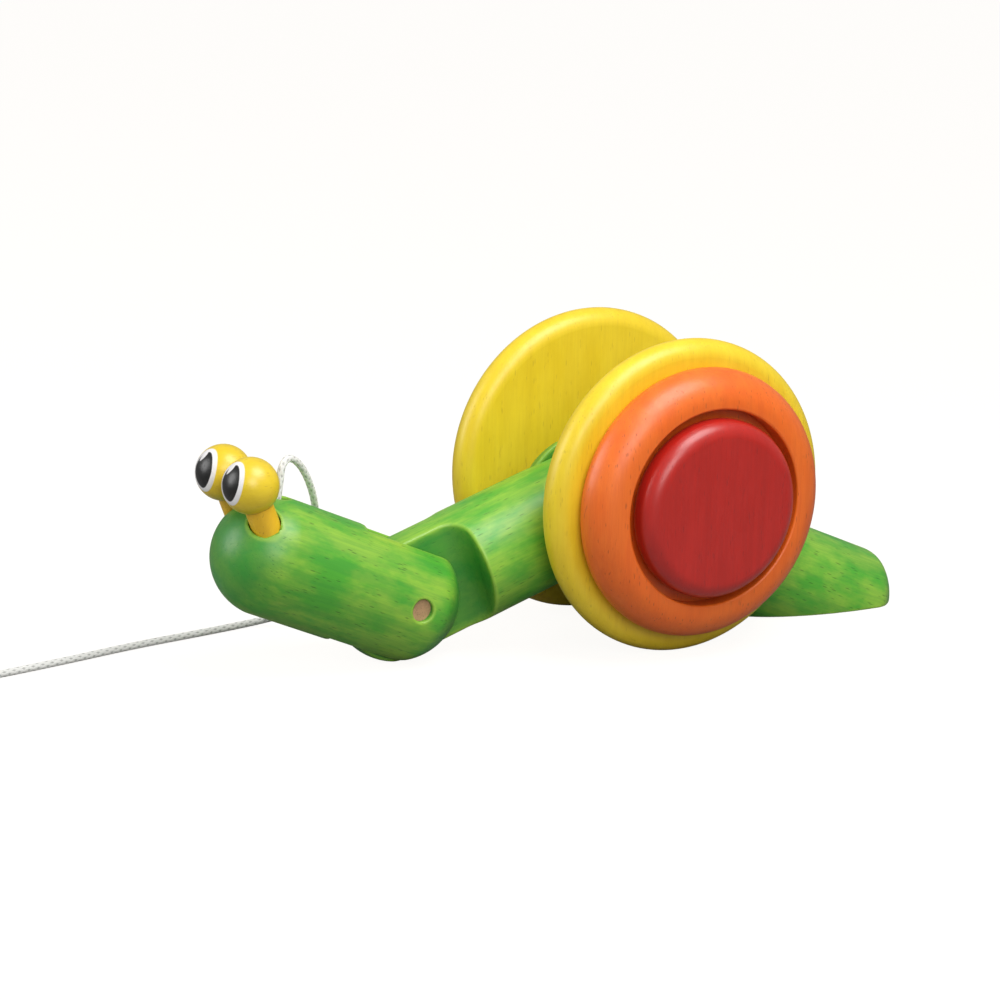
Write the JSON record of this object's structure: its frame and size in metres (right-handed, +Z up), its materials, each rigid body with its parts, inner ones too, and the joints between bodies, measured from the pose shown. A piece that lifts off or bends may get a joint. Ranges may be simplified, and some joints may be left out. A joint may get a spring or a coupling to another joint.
{
  "type": "pull along toy",
  "caption": "Wooden pull-along inchworm: three hinged round rods, layered wheels set off-centre on a crosswise axle, two ball eyes and a pull cord.",
  "frame": {"origin": "middle of the toy's footprint on the floor, without its pull cord", "axes": "+X from the nose to the tail's tip, +Y to the toy's right seen from above with the nose ahead at -X, +Z up"},
  "size_m": [0.3623, 0.1042, 0.1],
  "materials": {
    "green_stain": "green stain, satin clear coat",
    "yellow_stain": "yellow stain, satin clear coat",
    "orange_stain": "orange stain, satin clear coat",
    "red_stain": "red stain, satin clear coat",
    "bare_wood": "bare, sanded",
    "white_cord": "braided cotton"
  },
  "bodies": {
    "neck": {"neck_link": "green_stain"},
    "head": {"head": "green_stain", "knee_pin": "bare_wood", "eye_ball_left": "yellow_stain", "eye_ball_right": "yellow_stain", "eye_stalk_left": "yellow_stain", "eye_stalk_right": "yellow_stain", "cord_anchor_knot": "white_cord", "pull_cord": "white_cord", "cord_coil": "white_cord", "cord_end": "white_cord", "pull_bead": "red_stain", "bead_knot": "white_cord"},
    "tail": {"tail": "green_stain"},
    "wheels": {"axle": "bare_wood", "wheel_disc_left": "yellow_stain", "wheel_disc_right": "yellow_stain", "wheel_ring_left": "orange_stain", "wheel_ring_right": "orange_stain", "wheel_hub_left": "red_stain", "wheel_hub_right": "red_stain", "wheel_spacer_left": "bare_wood", "wheel_spacer_right": "bare_wood"}
  },
  "joints": [
    {"name": "knee_hinge", "type": "hinge", "parent": "neck", "child": "head", "pos_m": [-0.06212, 0, 0.0202], "axis": [0, 1, 0], "range_deg": [-45, 20]},
    {"name": "tail_hinge", "type": "hinge", "parent": "neck", "child": "tail", "pos_m": [0.00964, 0, 0.0413], "axis": [0, 1, 0], "range_deg": [-30, 35]},
    {"name": "wheel_spin", "type": "hinge", "parent": "neck", "child": "wheels", "pos_m": [0.00964, 0, 0.0413], "axis": [0, 1, 0], "continuous": true}
  ]
}
